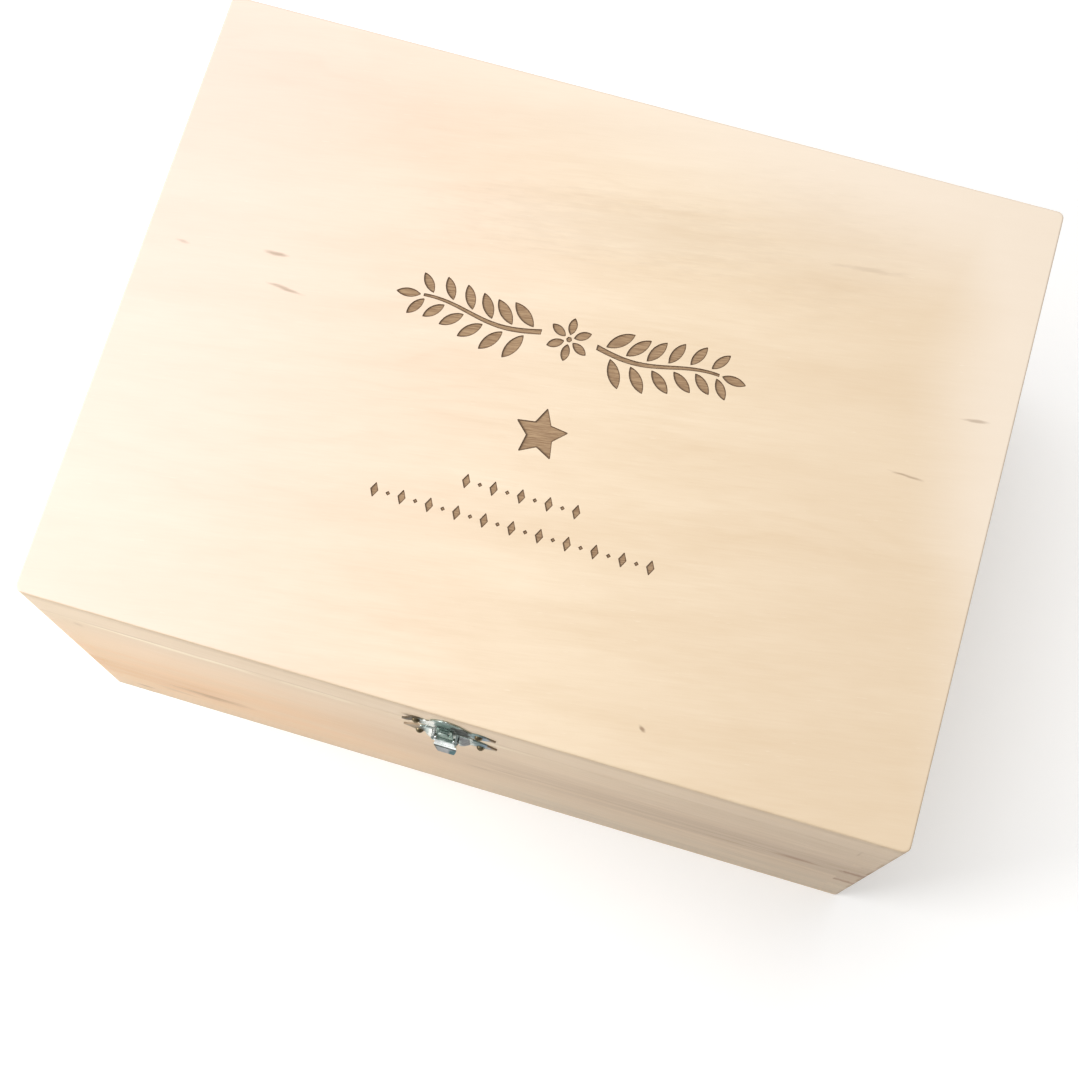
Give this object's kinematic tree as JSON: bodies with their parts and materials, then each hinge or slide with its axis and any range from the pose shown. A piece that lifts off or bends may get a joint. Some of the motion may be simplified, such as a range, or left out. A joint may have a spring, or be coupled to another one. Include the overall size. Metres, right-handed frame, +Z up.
{
  "type": "wooden keepsake box",
  "caption": "Lidded wooden box with finger-jointed walls, plywood top and bottom, butt hinges at the back and a toggle latch on the front.",
  "frame": {"origin": "centre of the underside, on the surface that the box stands on", "axes": "+X to the right along the latch side, +Y from the latch side to the hinges, +Z up"},
  "size_m": [0.4, 0.3119, 0.225],
  "materials": {
    "plywood": "bare sanded plywood",
    "softwood": "bare sanded softwood",
    "latch_metal": "bright nickel plate",
    "hinge_metal": "bright nickel plate",
    "nails": "nickelled steel, slightly dull"
  },
  "bodies": {
    "base": {"bottom_panel": "plywood", "base_front_board": "softwood", "base_back_board": "softwood", "base_left_board": "softwood", "base_right_board": "softwood", "hinge_left_base_leaf": "hinge_metal", "hinge_right_base_leaf": "hinge_metal", "hinge_left_pin": "hinge_metal", "hinge_right_pin": "hinge_metal", "hinge_base_nails": "nails", "latch_plate": "latch_metal", "latch_nails": "nails", "lever_pins": "nails"},
    "lid": {"lid_panel": "plywood", "lid_front_board": "softwood", "lid_back_board": "softwood", "lid_left_board": "softwood", "lid_right_board": "softwood", "hinge_left_lid_leaf": "hinge_metal", "hinge_right_lid_leaf": "hinge_metal", "hinge_lid_nails": "nails", "catch_plate": "latch_metal", "catch_nails": "nails"},
    "lever": {"latch_lever": "latch_metal", "link_pin": "nails"},
    "link": {"latch_link": "latch_metal"}
  },
  "joints": [
    {"name": "lid_hinge", "type": "hinge", "parent": "base", "child": "lid", "pos_m": [0, 0.15225, 0.187], "axis": [-1, 0, 0], "range_deg": [0, 180]},
    {"name": "lever_pivot", "type": "hinge", "parent": "base", "child": "lever", "pos_m": [-0.0042, -0.1536, 0.182], "axis": [-1, 0, 0], "range_deg": [0, 105]},
    {"name": "link_pivot", "type": "hinge", "parent": "lever", "child": "link", "pos_m": [-0.0042, -0.1529, 0.178], "axis": [-1, 0, 0], "range_deg": [-91, 0]}
  ],
  "couplings": [
    {"joint": "link_pivot", "follows": "lever_pivot", "ratio": -0.86}
  ]
}
